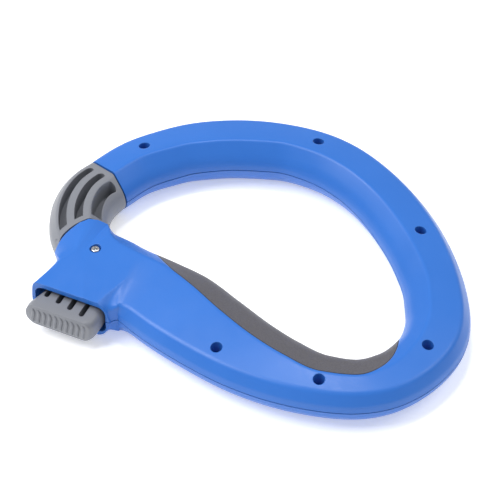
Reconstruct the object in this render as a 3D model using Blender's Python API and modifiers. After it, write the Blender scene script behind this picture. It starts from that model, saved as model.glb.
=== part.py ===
"""A carrying handle for several shopping bags: a closed loop of two moulded shells with a soft grip
pad, a curved gate that swings outward on a pivot screw, and a thumb button that opens it.

The loop lies flat. Lengths are in millimetres and MM turns them into Blender's metres. Plan positions
are counted from the gate's pivot, and heights from the parting plane between the two shells; place()
moves both into the part's frame, whose origin is under the middle of the loop on the surface that it
rests on.
"""

import math

import bmesh
import bpy
import numpy as np
from mathutils import Matrix, Vector

MM = 0.001
PIVOT = (-55.9, -2.1)  # plan position of the gate's pivot in the part's frame
PARTING_Z = 9.6  # height of the parting plane
LAND_Z = 9.6  # depth of the lower shell's flat resting land below the parting plane

GAP = 0.3  # clearance between neighbouring pieces
PARTING_GAP = 0.15  # half of the groove between the two shells
WALL = 2.2  # shell wall
PAD_DEPTH = 2.6  # thickness of the soft pad

# Sections across the loop, from the arm's free end round the far side to the grip, as
# (outer edge, inner edge, inner ridge's inset and height, inner shoulder's inset and height).
LOOP = [
    ((-4.8, 51.6), (10.2, 33.8), 7.6, 10.4, 1.3, 4.4),
    ((7.6, 62.5), (19.7, 42.4), 7.2, 10.5, 1.3, 4.6),
    ((19.6, 68.7), (28.5, 46.7), 6.6, 10.5, 1.4, 4.9),
    ((30.8, 72.8), (36.5, 49.6), 6.3, 10.5, 1.4, 5.0),
    ((51.4, 75.4), (50.5, 51.2), 6.1, 10.5, 1.4, 5.0),
    ((70.1, 73.4), (65.6, 50.2), 6.1, 10.5, 1.4, 5.0),
    ((88.7, 67.0), (77.7, 45.6), 6.3, 10.5, 1.5, 5.0),
    ((106.2, 53.3), (90.2, 35.6), 6.8, 10.4, 1.7, 5.0),
    ((121.7, 31.3), (101.2, 19.2), 7.4, 10.2, 1.9, 5.0),
    ((132.4, 4.2), (110.0, -3.2), 8.1, 10.0, 2.2, 5.0),
    ((136.2, -15.8), (112.8, -17.0), 8.5, 9.8, 2.4, 5.0),
    ((136.2, -31.8), (113.0, -26.3), 8.7, 9.7, 2.5, 5.0),
    ((132.4, -44.9), (111.4, -33.7), 9.0, 9.5, 2.7, 5.0),
    ((121.9, -58.9), (107.6, -39.6), 10.4, 9.0, 3.0, 5.0),
    ((108.6, -67.9), (102.2, -44.0), 12.8, 8.7, 3.4, 5.0),
    ((93.8, -71.1), (94.5, -46.4), 14.2, 8.7, 3.6, 5.0),
    ((78.0, -69.4), (85.0, -44.5), 15.0, 9.0, 3.6, 5.0),
    ((62.0, -64.7), (74.5, -38.0), 15.2, 9.8, 3.6, 5.1),
    ((47.5, -57.8), (65.0, -30.0), 15.2, 10.3, 3.6, 5.2),
    ((34.1, -48.9), (53.7, -18.6), 14.9, 10.5, 3.5, 5.2),
    ((22.5, -39.8), (41.5, -6.6), 13.4, 10.5, 3.3, 5.2),
    ((14.6, -32.6), (30.0, 0.7), 10.6, 10.5, 3.0, 5.2),
]
OUTER_INSET, OUTER_Z = 3.2, 7.0  # outer ridge of the loop's section

# Push axis of the thumb button: u runs into the housing and v across its mouth.
PUSH_ANGLE = math.radians(65)
NOSE_R = 15.6  # nose of the housing, round the pivot
SEAT_R = 16.1  # seat of the gate, round the nose


def push_xy(u, v):
    """Plan position of a point given along and across the push axis."""
    c, s = math.cos(PUSH_ANGLE), math.sin(PUSH_ANGLE)
    return (u * c + v * s, u * s - v * c)


def pushed(u, v, z):
    return (*push_xy(u, v), z)


def nose(angle, inset=0.0):
    """A plan point on the nose's rim at an angle in degrees."""
    a = math.radians(angle)
    return ((NOSE_R - inset) * math.cos(a), (NOSE_R - inset) * math.sin(a))


def rim(angle, z):
    return (*nose(angle, 0.25), z)


# The housing's left wall ends here, and the last sections fan out from it round the nose.
WALL_END = push_xy(-8.8, -10.65)
WALL_END_RIDGE = pushed(-8.65, -10.6, 8.4)

# The same sections through the housing, from the valley beside the grip round the mouth to the shoulder, as
# (outer edge, outer ridge, point on the top, inner ridge, inner edge, rounding of those three corners).
# The mouth's own edge is cut straight afterwards, so its outer points lie beyond it.
HOUSING = [
    (push_xy(-20.2, 19.1), pushed(-20.0, 18.9, 6.9), pushed(-8.0, 17.0, 9.5), (17.2, -3.6, 10.5), (20.0, 6.6),
     (1.2, 0.6, 1.0)),
    (push_xy(-22.0, 17.3), pushed(-22.0, 15.8, 6.0), pushed(-15.0, 14.8, 9.0), (11.6, 0.4, 10.5), (14.4, 9.8),
     (2.5, 0.9, 1.0)),
    (push_xy(-33.5, 16.9), pushed(-33.5, 14.7, 5.8), pushed(-30.5, 10.0, 8.0), (8.6, 2.6, 10.5), (10.4, 11.8),
     (3.0, 1.0, 1.0)),
    (push_xy(-33.5, -2.0), pushed(-33.5, -2.0, 7.4), pushed(-6.0, -1.5, 9.85), (5.2, 7.6, 10.5), (6.8, 13.2),
     (0.5, 3.0, 1.0)),
    (push_xy(-33.5, -17.5), pushed(-33.5, -17.1, 7.1), pushed(-5.0, -4.0, 9.9), rim(75, 7.8), nose(75),
     (12.0, 4.0, 0.6)),
    (push_xy(-20.0, -13.8), pushed(-20.0, -13.3, 8.25), pushed(-4.5, -5.5, 9.9), rim(88, 9.5), nose(88),
     (9.5, 3.0, 0.5)),
    (push_xy(-13.0, -11.8), pushed(-13.0, -11.4, 8.8), pushed(-3.5, -6.0, 9.95), rim(101, 10.4), nose(101),
     (5.0, 3.0, 0.5)),
    (WALL_END, WALL_END_RIDGE, pushed(-2.5, -6.5, 9.8), rim(115, 9.6), nose(115), (0.3, 3.0, 0.5)),
    (WALL_END, WALL_END_RIDGE, pushed(-2.8, -7.5, 9.6), rim(130, 8.1), nose(130), (0.3, 2.5, 0.5)),
    (WALL_END, WALL_END_RIDGE, pushed(-3.5, -8.3, 9.3), rim(146, 7.0), nose(146), (0.3, 2.0, 0.5)),
    (WALL_END, WALL_END_RIDGE, pushed(-5.0, -10.6, 8.6), rim(160, 6.2), nose(160), (0.3, 1.0, 0.5)),
    (WALL_END, WALL_END_RIDGE, pushed(-6.7, -12.77, 7.2), rim(172, 5.9), nose(172), (0.3, 0.5, 0.3)),
]

MOUTH_U = -22.9
MOUTH_V = (-13.1, 15.5)
MOUTH_END_U, MOUTH_END_V = -9.6, (-9.45, 15.5)  # the mouth narrows inwards along the left wall
MOUTH_HALF_HEIGHT = 6.3
MOUTH_CORNERS = (3.6, 3.2)  # rounding of its left and right sides

SCREWS = [(16.4, 55.6), (82.9, 58.1), (119.8, 10.6), (119.8, -46.1), (80.9, -62.0), (44.8, -46.8)]
BOSS_R = 3.5
COUNTERBORE_R = 2.15
HEAD_SEAT_Z = 1.2

BUTTON_HALF_HEIGHT = 4.8
BUTTON_CORNERS = (4.2, 3.0)  # rounding of its left and right sides
# Sections across the button from back to front, as (u, lowest v, highest v, share of the full height).
BUTTON = [
    (-14.9, -9.1, 14.3, 1.0),
    (-25.8, -12.3, 14.3, 1.0),
    (-28.4, -13.1, 14.1, 1.0),
    (-30.8, -13.0, 13.0, 0.98),
    (-31.6, -12.4, 12.3, 0.92),
]
BUTTON_SLOTS = [(-7.6, -24.9), (-2.3, -26.1), (2.9, -27.1), (8.2, -28.2)]  # v, and u of the closed end
SLOT_HALF_WIDTH = 1.0

HUB_HALF_HEIGHT = 4.9
HUB_R = 8.6
BORE_R = 3.3
FINGER_ANGLE = math.radians(-37.2)  # the gate's drive finger at rest

# Sections across the gate from the arm to the nose, as (outer edge, inner edge).
GATE = [
    ((-5.2, 51.3), (9.8, 33.5)),
    ((-11.9, 44.8), (6.7, 29.4)),
    ((-16.1, 37.0), (4.9, 25.6)),
    ((-18.3, 28.7), (4.2, 21.8)),
    ((-18.6, 20.7), (4.3, 17.8)),
    ((-17.7, 13.2), (4.8, 14.6)),
    ((-15.4, 6.4), (5.2, 11.4)),
]
# The gate's pockets, as (inset of both sides at the arm, inset of both sides at the nose).
GATE_SLOTS = [
    ((5.2, 8.2), (3.4, 6.5)),
    ((11.4, 14.8), (9.4, 12.7)),
    ((17.6, 21.0), (16.0, 20.0)),
]
SLOT_MARGIN = (2.3, 2.4)  # gate left solid beyond the pockets' ends, at the arm and round the seat
SLOT_FLOOR = 1.6  # half of the web left between the upper and the lower pockets

BLUE = (0.055, 0.21, 0.75, 1)
GREY = (0.30, 0.30, 0.33, 1)
SOFT_GREY = (0.13, 0.125, 0.13, 1)
STEEL = (0.62, 0.62, 0.64, 1)


def place(x, y, z):
    return Vector(((x + PIVOT[0]) * MM, (y + PIVOT[1]) * MM, (z + PARTING_Z) * MM))


# Curves


def cubic(values, knots):
    """A natural cubic spline through values at knots, as a function of the knot parameter."""
    values = np.asarray(values, float).reshape(len(knots), -1)
    h = np.diff(knots)
    n = len(knots)
    system, right = np.eye(n), np.zeros_like(values)
    for i in range(1, n - 1):
        system[i, i - 1 : i + 2] = h[i - 1], 2 * (h[i - 1] + h[i]), h[i]
        right[i] = 6 * ((values[i + 1] - values[i]) / h[i] - (values[i] - values[i - 1]) / h[i - 1])
    bend = np.linalg.solve(system, right)

    def at(t):
        i = int(np.clip(np.searchsorted(knots, t) - 1, 0, n - 2))
        a, b = (knots[i + 1] - t) / h[i], (t - knots[i]) / h[i]
        curve = (a**3 - a) * bend[i] + (b**3 - b) * bend[i + 1]
        return a * values[i] + b * values[i + 1] + curve * h[i] ** 2 / 6

    return at


def steady(values, knots):
    """A smooth curve through values at knots that never overshoots them."""
    values = np.asarray(values, float).reshape(len(knots), -1)
    h = np.diff(knots)[:, None]
    rise = np.diff(values, axis=0) / h
    slope = np.zeros_like(values)
    turning = rise[:-1] * rise[1:] <= 0
    safe = np.where(turning, 1, rise[:-1] + rise[1:])
    slope[1:-1] = np.where(turning, 0, 2 * rise[:-1] * rise[1:] / safe)
    slope[0], slope[-1] = rise[0], rise[-1]

    def at(t):
        i = int(np.clip(np.searchsorted(knots, t) - 1, 0, len(knots) - 2))
        f = (t - knots[i]) / h[i]
        near = values[i] * (1 + 2 * f) * (1 - f) ** 2 + slope[i] * h[i] * f * (1 - f) ** 2
        return near + values[i + 1] * (3 - 2 * f) * f**2 - slope[i + 1] * h[i] * (1 - f) * f**2

    return at


def knots_of(*lines):
    """One knot for each section, spaced by the mean distance between the sections."""
    steps = np.mean([np.linalg.norm(np.diff(line, axis=0), axis=1) for line in lines], axis=0)
    return np.concatenate([[0], np.cumsum(steps)])


def rounded(points, reach, steps):
    """The polyline with each inner corner replaced by a short curve that starts `reach` from the corner."""
    made = [points[0]]
    for i in range(1, len(points) - 1):
        corner = points[i]
        before, after = points[i - 1] - corner, points[i + 1] - corner
        if reach[i] <= 0:
            made.append(corner)
            continue
        start = corner + before * min(0.55, reach[i] / max(np.linalg.norm(before), 1e-9))
        end = corner + after * min(0.55, reach[i] / max(np.linalg.norm(after), 1e-9))
        for k in range(steps + 1):
            f = k / steps
            made.append(start * (1 - f) ** 2 + corner * 2 * f * (1 - f) + end * f**2)
    return made + [points[-1]]


class Body:
    """The section of the blue loop and housing at any station."""

    def __init__(self):
        outer = [row[0] for row in LOOP] + [HOUSING[0][0]]
        inner = [row[1] for row in LOOP] + [row[4] for row in HOUSING]
        ridge = [self.inset_ridge(*row[:4]) for row in LOOP] + [row[3] for row in HOUSING]
        foot = [(row[4] / row[2], row[5]) for row in LOOP]
        foot += [(0.3 * 0.7**i, 5.2 - 0.2 * i) for i in range(len(HOUSING))]
        self.loop_knots = knots_of(outer, inner[: len(outer)])
        self.valley = self.loop_knots[-1]
        house = knots_of([row[4] for row in HOUSING], [row[2][:2] for row in HOUSING])
        self.house_knots = self.valley + house
        self.knots = np.concatenate([self.loop_knots, self.house_knots[1:]])
        self.outer = cubic(outer, self.loop_knots)
        self.inner = steady(inner, self.knots)
        self.inner_ridge = steady(ridge, self.knots)
        self.shoulder = steady(foot, self.knots)
        self.house = steady([[*row[0], *row[1], *row[2], *row[5]] for row in HOUSING], self.house_knots)

    @staticmethod
    def inset_ridge(outer, inner, inset, height):
        outer, inner = np.array(outer), np.array(inner)
        return [*(inner + (outer - inner) / np.linalg.norm(outer - inner) * inset), height]

    def corners(self, t):
        """The section's corners at the parting plane's level and above, from the outer edge to the inner."""
        inner = np.append(self.inner(t), 0)
        inner_ridge = self.inner_ridge(t)
        row = self.house(max(t, self.valley))
        if t <= self.valley:
            outer = np.append(self.outer(t), 0)
            across = (inner - outer) / np.linalg.norm(inner - outer)
            ridge = outer + across * OUTER_INSET + (0, 0, OUTER_Z)
            top = ridge + (inner_ridge - ridge) * 0.5
            # The outer ridge runs into the valley over the last few millimetres.
            near = max(0, 1 - (self.valley - t) / 8) ** 2
            ridge += (row[2:5] - ridge) * near
            top += (row[5:8] - top) * near
        else:
            outer, ridge, top = np.append(row[0:2], 0), row[2:5], row[5:8]
        share, height = self.shoulder(t)
        # The housing's wall stays steep lower down, which leaves room for its larger upper rounding.
        steep = min(1, max(0, (t - self.valley) / 8))
        wall = outer + (ridge - outer) * (0.14, 0.14, 0.38 - 0.24 * steep)
        shoulder = inner + (inner_ridge - inner) * (share, share, 0)
        shoulder[2] = min(height, inner_ridge[2] * 0.6)
        foot = inner + (shoulder - inner) * (0.2, 0.2, 0) + (0, 0, 1.8)
        return [outer, wall, ridge, top, inner_ridge, shoulder, foot, inner]

    def profile(self, t, steps=2):
        """The section with its corners rounded."""
        reach = [0, 0.8, 1.3, 0.6, 1.0, 2.6, 0.8, 0]
        if t > self.valley:
            reach[2:5] = self.house(t)[8:11]
        return rounded(self.corners(t), reach, steps)


def stations(knots, spacing):
    """Evenly spaced stations that also include every knot."""
    made = []
    for a, b in zip(knots[:-1], knots[1:]):
        made += list(np.linspace(a, b, max(1, round((b - a) / spacing)), endpoint=False))
    return made + [knots[-1]]


# Meshes


def object_of(name, rings, collection, side=1):
    """A closed solid lofted through rings of equal length, capped at both ends; side -1 turns it over."""
    mesh = bmesh.new()
    rows = [[mesh.verts.new(place(p[0], p[1], p[2] * side)) for p in ring] for ring in rings]
    count = len(rings[0])
    for a, b in zip(rows[:-1], rows[1:]):
        for i in range(count):
            j = (i + 1) % count
            mesh.faces.new((a[i], a[j], b[j], b[i]))
    mesh.faces.new(rows[0])
    mesh.faces.new(rows[-1])
    bmesh.ops.remove_doubles(mesh, verts=mesh.verts, dist=1e-6)
    bmesh.ops.dissolve_degenerate(mesh, edges=mesh.edges, dist=1e-6)
    bmesh.ops.triangulate(mesh, faces=mesh.faces)
    bmesh.ops.recalc_face_normals(mesh, faces=mesh.faces)
    return link(name, mesh, collection)


def link(name, mesh, collection):
    data = bpy.data.meshes.new(name)
    mesh.to_mesh(data)
    mesh.free()
    made = bpy.data.objects.new(name, data)
    collection.objects.link(made)
    return made


def cylinder(name, collection, centre, radius, low, high, sides=24, top_radius=None):
    """An upright cylinder or cone between two heights."""
    mesh = bmesh.new()
    bmesh.ops.create_cone(
        mesh,
        cap_ends=True,
        segments=sides,
        radius1=radius * MM,
        radius2=(radius if top_radius is None else top_radius) * MM,
        depth=(high - low) * MM,
    )
    bmesh.ops.translate(mesh, verts=mesh.verts, vec=place(*centre, (low + high) / 2))
    return link(name, mesh, collection)


def prism(name, collection, outline, low, high):
    """An upright prism over a closed plan outline."""
    mesh = bmesh.new()
    bottom = [mesh.verts.new(place(x, y, low)) for x, y in outline]
    top = [mesh.verts.new(place(x, y, high)) for x, y in outline]
    for i in range(len(outline)):
        j = (i + 1) % len(outline)
        mesh.faces.new((bottom[i], bottom[j], top[j], top[i]))
    mesh.faces.new(bottom)
    mesh.faces.new(top)
    bmesh.ops.recalc_face_normals(mesh, faces=mesh.faces)
    return link(name, mesh, collection)


def arc(radius, first, last, steps, centre=(0, 0)):
    """Plan points on an arc, by angles in degrees."""
    angles = np.radians(np.linspace(first, last, steps))
    return [(centre[0] + radius * math.cos(a), centre[1] + radius * math.sin(a)) for a in angles]


def boolean(target, other, operation="DIFFERENCE"):
    modifier = target.modifiers.new(other.name, "BOOLEAN")
    modifier.operation = operation
    modifier.solver = "EXACT"
    modifier.object = other
    other.hide_render = True
    other.display_type = "WIRE"


def colour(piece, name, base, roughness, metallic=0.0):
    material = bpy.data.materials.get(name)
    if material is None:
        material = bpy.data.materials.new(name)
        material.use_nodes = True
        shader = material.node_tree.nodes["Principled BSDF"]
        shader.inputs["Base Color"].default_value = base
        shader.inputs["Roughness"].default_value = roughness
        shader.inputs["Metallic"].default_value = metallic
    piece.data.materials.append(material)


def own_origin(piece, x, y, z=0.0):
    """Puts the object's origin at a point of the part, leaving its mesh where it is."""
    origin = place(x, y, z)
    piece.data.transform(Matrix.Translation(-origin))
    piece.location = origin


# The two shells


def body_rings(body, low, land=None):
    """Closed rings of the blue body from the parting plane up, flattened at the resting land if given."""
    rings = []
    for t in stations(body.knots, 7.5):
        ring = [Vector(p) for p in body.profile(t)]
        ring[0].z = ring[-1].z = low
        # A point under the section's top keeps its level face clear of its neighbours', where sections fan out.
        keel = Vector(body.corners(t)[3])
        ring.append(Vector((keel.x, keel.y, low)))
        if land is not None:
            for point in ring:
                point.z = min(point.z, land)
        rings.append(ring)
    return rings


def hollow_rings(body):
    """The space inside the loop: the section set in by the wall, and by the pad's recess on the grip."""
    first, last = WALL + 0.6, body.loop_knots[-2]
    rings = []
    for t in stations(np.linspace(first, last, 24), 20):
        outer, _, ridge, _, inner_ridge, shoulder, _, inner = (Vector(p) for p in body.corners(t))
        across = (inner - outer).normalized()
        under_pad = PAD_DEPTH + GAP if (inner_ridge - inner).xy.length > 10 else 0
        depth = WALL + under_pad
        drop = Vector((0, 0, WALL * 1.05))
        rings.append(
            [
                outer + across * WALL - Vector((0, 0, 2)),
                outer + across * (WALL + 0.2) + Vector((0, 0, 3.4)),
                ridge + across * 1.0 - drop,
                inner_ridge - across * (0.4 + 0.5 * under_pad) - drop - Vector((0, 0, 0.3 * under_pad)),
                shoulder - across * (depth + 0.2) - Vector((0, 0, 0.6 + 0.25 * under_pad)),
                inner - across * (depth + 0.4) - Vector((0, 0, 2)),
            ]
        )
    return rings


def rounded_box(u, v, half_height, corners, steps=3):
    """The section across the push axis of a box with rounded edges, at push coordinate u."""
    low, high = v
    left, right = corners
    made = []
    turns = [(high, 1, 0, right), (low, 1, 90, left), (low, -1, 180, left), (high, -1, 270, right)]
    for cv, cz, first, reach in turns:
        centre = (cv - reach * (1 if cv == high else -1), cz * (half_height - reach))
        for k in range(steps + 1):
            angle = math.radians(first + 90 * k / steps)
            x, y = push_xy(u, centre[0] + reach * math.cos(angle))
            made.append((x, y, centre[1] + reach * math.sin(angle)))
    return made


def shell(name, body, side, pieces, cutters):
    """One half of the blue body. side is 1 for the upper shell and -1 for the lower."""
    land = LAND_Z if side < 0 else None
    made = object_of(name, body_rings(body, PARTING_GAP, land), pieces, side)
    inside = object_of(f"{name}_inside", hollow_rings(body), cutters, side)
    for n, (x, y) in enumerate(SCREWS, 1):
        boss = cylinder(f"{name}_boss_{n}", cutters, (x, y), BOSS_R, *ordered(side * -4, side * 16), sides=16)
        boolean(inside, boss)
    boolean(made, inside)

    # The housing's mouth, its inner chamber and the hub's chamber.
    far = push_box(f"{name}_beyond_mouth", cutters, (-40, MOUTH_U), (-30, 21.5), 20)
    boolean(made, far)
    ends = ((MOUTH_U - 2.8, MOUTH_V), (MOUTH_U + 0.5, MOUTH_V), (MOUTH_END_U, MOUTH_END_V))
    mouth = [rounded_box(u, v, MOUTH_HALF_HEIGHT, MOUTH_CORNERS) for u, v in ends]
    boolean(made, object_of(f"{name}_mouth", mouth, cutters))
    chamber = [push_xy(-15.0, -9.8), push_xy(-15.0, 14.1), push_xy(-1.5, 14.1), push_xy(2.0, 12.6)]
    chamber += [push_xy(2.0, -9.0), push_xy(-9.0, -9.0)]
    boolean(made, prism(f"{name}_chamber", cutters, chamber, -5.2, 5.2))
    sweep = [(0, 0)] + arc(12.4, -60, 240, 31)
    boolean(made, prism(f"{name}_hub_chamber", cutters, sweep, -5.3, 5.3))
    swing = arc(30, 58, 181, 20) + arc(8, 181, 58, 12)
    boolean(made, prism(f"{name}_gate_slot", cutters, swing, -4.95, 4.95))
    return made


def ordered(a, b):
    return (min(a, b), max(a, b))


def push_box(name, collection, u, v, half_height):
    outline = [push_xy(u[0], v[0]), push_xy(u[0], v[1]), push_xy(u[1], v[1]), push_xy(u[1], v[0])]
    return prism(name, collection, outline, -half_height, half_height)


def add_shells(body, pieces, cutters):
    upper = shell("upper_shell", body, 1, pieces, cutters)
    lower = shell("lower_shell", body, -1, pieces, cutters)
    for n, (x, y) in enumerate(SCREWS, 1):
        bore = cylinder(f"counterbore_{n}", cutters, (x, y), COUNTERBORE_R, HEAD_SEAT_Z, 14, sides=20)
        boolean(upper, bore)
        boolean(upper, cylinder(f"clearance_{n}", cutters, (x, y), 1.55, -1, 4, sides=14))
        boolean(lower, cylinder(f"pilot_{n}", cutters, (x, y), 1.45, -7.2, 1, sides=14))
    # The pivot's boss stands on the lower shell, inside the sleeve, and its screw comes in from the top.
    boolean(upper, cylinder("pivot_counterbore", cutters, (0, 0), COUNTERBORE_R, 8.1, 14, sides=24))
    boolean(upper, cylinder("pivot_clearance", cutters, (0, 0), 1.75, 0, 9, sides=16))
    boolean(lower, cylinder("pivot_pilot", cutters, (0, 0), 1.75, -8.6, 1, sides=16))
    return upper, lower


# The grip pad


def pad_cover(body, t):
    """How far up the section the pad reaches: 0 at the parting plane and 1 at the inner ridge."""
    first, last = pad_span(body)
    rise = min((t - first) / 30.0, (last - t) / 16.0)
    return math.sin(min(1.0, max(rise, 0.0)) * math.pi / 2)


def pad_span(body):
    return body.knots[12] + 4.0, body.valley + 1.0


def pad_surface(body, t, cover, count):
    """Points from the pad's edge down to the parting plane, on the section's surface, with outward normals."""
    line = np.array([tuple(p) for p in body.profile(t, 4)])
    corner = body.corners(t)[4]
    start = int(np.argmin(np.linalg.norm(line - corner, axis=1)))
    line = line[start:][::-1]
    run = np.concatenate([[0], np.cumsum(np.linalg.norm(np.diff(line, axis=0), axis=1))])
    at = np.linspace(run[-1] * cover, 0, count)
    points = np.array([[np.interp(a, run, column) for column in line.T] for a in at])
    along = np.gradient(points, axis=0)
    across = body.corners(t)[7] - body.corners(t)[0]
    across /= np.linalg.norm(across)
    level = along @ across
    normals = np.outer(-along[:, 2], across) + np.outer(level, (0, 0, 1))
    normals /= np.linalg.norm(normals, axis=1)[:, None]
    # The seat is set in level near the parting plane, so that its two halves meet.
    tilt = np.clip((points[:, 2:] - 1.5) / 3, 0, 1)
    normals = across * (1 - tilt) + normals * tilt
    return points, normals / np.linalg.norm(normals, axis=1)[:, None]


def pad_ring(body, t, room=0.0, lift=0.0, count=7):
    """A closed ring of the pad, or with room round it, a ring of its recess, which is open outwards by lift."""
    cover = max(0.06, pad_cover(body, t) * 0.96)
    depth = PAD_DEPTH * min(1.0, 0.3 + 2 * cover) * np.minimum(1, 0.5 + 0.3 * np.arange(count)) + room
    line, normals = pad_surface(body, t, cover, count)
    up = line[0] - line[1]
    line[0] += up / np.linalg.norm(up) * room * 1.2
    flip = np.array([1, 1, -1])
    top = [point + normal * lift for point, normal in zip(line, normals)]
    seat = [point - normal * d for point, normal, d in zip(line, normals, depth)]
    ring = top + [p * flip for p in top[-2::-1]] + [p * flip for p in seat[:-1]] + seat[::-1]
    return [Vector((x, y, max(z, -LAND_Z - 2 * lift))) for x, y, z in ring]


def add_pad(body, shells, pieces, cutters):
    first, last = pad_span(body)
    at = list(np.linspace(first + 1.2, last - 1.2, 30))
    pad = object_of("grip_pad", [pad_ring(body, t) for t in at], pieces)
    at = [at[0] - 3 * GAP, *at, at[-1] + 3 * GAP]
    room = [pad_ring(body, t, GAP, 1.5) for t in at]
    recess = object_of("pad_recess", room, cutters)
    for piece in shells:
        boolean(piece, recess)
    return pad


# The gate


class Gate:
    """The section of the gate at any station between the arm's end and the nose of the housing."""

    def __init__(self):
        outer, inner = [row[0] for row in GATE], [row[1] for row in GATE]
        self.knots = knots_of(outer, inner)
        self.outer, self.inner = cubic(outer, self.knots), cubic(inner, self.knots)

    def edges(self, t):
        outer, inner = np.append(self.outer(t), 0), np.append(self.inner(t), 0)
        return outer, inner, (inner - outer) / np.linalg.norm(inner - outer)

    def ring(self, t, steps=2):
        outer, inner, across = self.edges(t)
        corners = [
            outer,
            outer + across * 0.45 + (0, 0, 2.6),
            outer + across * 3.2 + (0, 0, 6.7),
            inner - across * 7.2 + (0, 0, 9.9),
            inner - across * 1.3 + (0, 0, 4.4),
            inner - across * 0.3 + (0, 0, 1.8),
            inner,
        ]
        line = rounded(corners, [0, 0.8, 1.3, 1.0, 2.0, 0.8, 0], steps)
        flip = np.array([1, 1, -1])
        return [Vector((x, y, max(z, -LAND_Z))) for x, y, z in line + [p * flip for p in line[-2:0:-1]]]

    def slot_ring(self, t, near, far):
        outer, _, across = self.edges(t)
        made = []
        for inset in (near, far):
            made.append(Vector(outer + across * inset))
        a, b = made
        low, high = Vector((0, 0, SLOT_FLOOR)), Vector((0, 0, 13))
        return [a + low, b + low, b + high, a + high]


def add_gate(pieces, cutters):
    gate = Gate()
    last = gate.knots[-1]
    lever = object_of("gate_lever", [gate.ring(t) for t in stations(gate.knots, 4)], pieces)
    boolean(lever, cylinder("gate_seat", cutters, (0, 0), SEAT_R, -15, 15, sides=72))
    at_face, at_seat = SLOT_MARGIN
    for n, (at_arm, at_nose) in enumerate(GATE_SLOTS, 1):
        for side, word in ((1, "upper"), (-1, "lower")):
            rings = []
            for t in np.linspace(at_face, last, 10):
                near, far = np.array(at_arm) + (np.array(at_nose) - at_arm) * t / last
                rings.append(gate.slot_ring(t, near, far))
            slot = object_of(f"gate_slot_{word}_{n}", rings, cutters, side)
            seat = cylinder(f"slot_end_{word}_{n}", cutters, (0, 0), SEAT_R + at_seat, -15, 15, sides=48)
            boolean(slot, seat)
            boolean(lever, slot)

    # The tongue that joins the gate to its hub, the hub, and the finger that the button pushes.
    tongue = arc(18.3, 76, 148, 15) + arc(4.2, 148, 76, 6)
    boolean(lever, prism("gate_tongue", cutters, tongue, -4.6, 4.6), "UNION")
    hub = cylinder("gate_hub", cutters, (0, 0), HUB_R, -HUB_HALF_HEIGHT, HUB_HALF_HEIGHT, sides=36)
    boolean(lever, hub, "UNION")
    c, s = math.cos(FINGER_ANGLE), math.sin(FINGER_ANGLE)
    finger = [(r * c - h * s, r * s + h * c) for r, h in ((6, -2.3), (12.0, -2.3), (12.0, 2.3), (6, 2.3))]
    boolean(lever, prism("gate_finger", cutters, finger, -3.0, 3.0), "UNION")
    boolean(lever, cylinder("gate_bore", cutters, (0, 0), BORE_R, -15, 15, sides=24))
    # The spring's pocket, open at the hub's top face.
    ring = prism("spring_pocket", cutters, arc(7.2, 0, 350, 36), 0.9, 6)
    boolean(ring, cylinder("spring_core", cutters, (0, 0), 3.9, -1, 8, sides=24))
    boolean(lever, ring)
    notch = arc(9.2, 174, 228, 8) + arc(6.4, 228, 174, 8)
    boolean(lever, prism("spring_leg_notch", cutters, notch, 3.5, 6))
    own_origin(lever, 0, 0)
    return lever


# The thumb button


def add_button(pieces, cutters):
    rings = []
    for u, low, high, share in BUTTON:
        rings.append(rounded_box(u, (low, high), BUTTON_HALF_HEIGHT * share, BUTTON_CORNERS))
    button = object_of("thumb_button", rings, pieces)
    for n, (v, closed_u) in enumerate(BUTTON_SLOTS, 1):
        for side, word in ((1, "upper"), (-1, "lower")):
            low, high = v - SLOT_HALF_WIDTH, v + SLOT_HALF_WIDTH
            outline = [(closed_u, low), (closed_u, high), (-16.5, high), (-16.5, low)]
            plan = [push_xy(*p) for p in outline]
            boolean(button, prism(f"button_slot_{word}_{n}", cutters, plan, *ordered(side, side * 9)))
    tip = [(-16.0, 9.1), (-16.0, 12.5), (-5.6, 12.5), (-4.9, 11.8), (-4.7, 10.8), (-4.9, 9.8), (-5.6, 9.1)]
    boolean(button, prism("button_pusher", cutters, [push_xy(*p) for p in tip], -3.0, 3.0), "UNION")
    own_origin(button, *push_xy(BUTTON[-1][0], 1.5))
    return button


# Metal pieces


def turned(name, collection, centre, profile, steps=20):
    """A piece turned from a profile of (radius, height) that runs down its outer side."""
    mesh = bmesh.new()
    verts = [mesh.verts.new((r * MM, 0, z * MM)) for r, z in profile]
    for a, b in zip(verts[:-1], verts[1:]):
        mesh.edges.new((a, b))
    made = link(name, mesh, collection)
    screw = made.modifiers.new("turn", "SCREW")
    screw.steps = screw.render_steps = steps
    screw.use_merge_vertices = True
    screw.merge_threshold = 0.00001
    made.location = place(*centre, 0)
    return made


def screw_profile(head_r, head_low, head_high, shank_r, foot):
    """A pan-headed screw with a recess in its head."""
    return [
        (0, head_high - 0.9),
        (0.5, head_high - 0.9),
        (0.7, head_high),
        (head_r - 0.4, head_high),
        (head_r, head_high - 0.4),
        (head_r, head_low),
        (shank_r, head_low),
        (shank_r, foot + 0.8),
        (0, foot),
    ]


def add_metal(pieces):
    ring = [(1.7, 4.9), (2.9, 4.9), (2.9, -4.9), (1.7, -4.9), (1.7, 4.9)]
    made = [
        turned("pivot_screw", pieces, (0, 0), screw_profile(1.6, 8.4, 9.9, 1.3, -8.2)),
        turned("pivot_sleeve", pieces, (0, 0), ring),
    ]
    for n, centre in enumerate(SCREWS, 1):
        profile = screw_profile(1.8, HEAD_SEAT_Z + GAP, HEAD_SEAT_Z + 2.0, 1.1, -6.8)
        made.append(turned(f"housing_screw_{n}", pieces, centre, profile, 14))
    return made


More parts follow.
